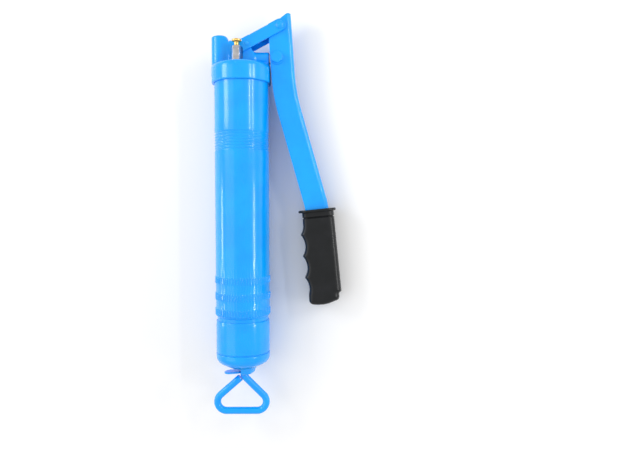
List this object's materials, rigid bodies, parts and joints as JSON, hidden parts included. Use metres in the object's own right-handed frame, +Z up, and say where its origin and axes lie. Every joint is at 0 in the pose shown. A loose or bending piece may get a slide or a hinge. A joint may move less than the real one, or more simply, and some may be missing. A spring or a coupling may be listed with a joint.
{
  "type": "lever grease gun",
  "caption": "Hand lever grease gun: ribbed painted steel barrel, cast pump head with link and lever, moulded finger grip and a bent-rod pull handle.",
  "frame": {"origin": "centre of the bounding box at the surface that the gun lies on", "axes": "+Y along the barrel towards the pump head and outlet, +X towards the lever, +Z up; the gun is rolled so that its collar and the grip's flange both rest on Z = 0"},
  "size_m": [0.1353, 0.4226, 0.0624],
  "materials": {
    "paint": "gloss enamel over pressed and cast metal",
    "grip": "satin moulded vinyl",
    "chrome": "bright plated",
    "brass": "turned",
    "steel": "plain machined, oiled",
    "seal": "moulded nitrile"
  },
  "bodies": {
    "head": {"head_casting": "paint", "check_spring": "steel", "spring_stop": "steel", "bleeder_body": "chrome", "plunger_seal": "seal", "gland_ring": "steel", "barrel": "paint", "head_gasket": "seal", "end_sleeve": "paint", "end_dome": "paint", "rod_bush": "steel", "follower_spring": "steel", "lock_housing": "paint", "lock_spring": "steel"},
    "link": {"link": "paint", "link_pin": "paint", "lever_pin": "paint"},
    "lever": {"lever": "paint", "grip": "grip", "pivot_bolt": "paint", "pivot_washers": "paint", "pivot_nut": "paint"},
    "plunger": {"plunger": "steel"},
    "follower": {"follower_cup": "seal", "follower_plates": "steel"},
    "pull_rod": {"pull_rod": "paint", "follower_nut": "steel"},
    "lock_plate": {"lock_plate": "paint"},
    "bleeder_tip": {"bleeder_tip": "brass"},
    "check_ball": {"check_ball": "steel"}
  },
  "joints": [
    {"name": "lever_pivot", "type": "hinge", "parent": "link", "child": "lever", "pos_m": [0.00386, 0.19843, 0.02369], "axis": [0.1834, 0, 0.983], "range_deg": [0, 54]},
    {"name": "link_pivot", "type": "hinge", "parent": "head", "child": "link", "pos_m": [-0.03031, 0.17988, 0.03006], "axis": [-0.1834, 0, -0.983], "range_deg": [0, 9]},
    {"name": "plunger_stroke", "type": "slide", "parent": "head", "child": "plunger", "axis": [0.983, 0, -0.1834], "range_m": [0, 0.0273]},
    {"name": "follower_slide", "type": "slide", "parent": "head", "child": "follower", "axis": [0, -1, 0], "range_m": [0, 0.222], "stiffness_N_per_m": 120, "springref_m": -0.06, "deforming": ["follower_spring"]},
    {"name": "rod_turn", "type": "hinge", "parent": "follower", "child": "pull_rod", "pos_m": [-0.0364, 0.12937, 0.0312], "axis": [0, 1, 0], "continuous": true},
    {"name": "lock_tilt", "type": "hinge", "parent": "head", "child": "lock_plate", "pos_m": [-0.03159, -0.16453, 0.0303], "axis": [-0.1834, 0, -0.983], "range_deg": [0, 4], "stiffness_Nm_per_rad": 0.2, "springref_deg": -5.73, "deforming": ["lock_spring"]},
    {"name": "bleeder_push", "type": "slide", "parent": "head", "child": "bleeder_tip", "axis": [0, -1, 0], "range_m": [0, 0.0015], "stiffness_N_per_m": 600, "springref_m": -0.001},
    {"name": "check_lift", "type": "slide", "parent": "head", "child": "check_ball", "axis": [0, 1, 0], "range_m": [0, 0.0015], "stiffness_N_per_m": 150, "springref_m": -0.002, "deforming": ["check_spring"]}
  ],
  "couplings": [
    {"joint": "link_pivot", "follows": "lever_pivot", "ratio": 0.16667},
    {"joint": "plunger_stroke", "follows": "lever_pivot", "m_per_rad": 0.028952}
  ]
}
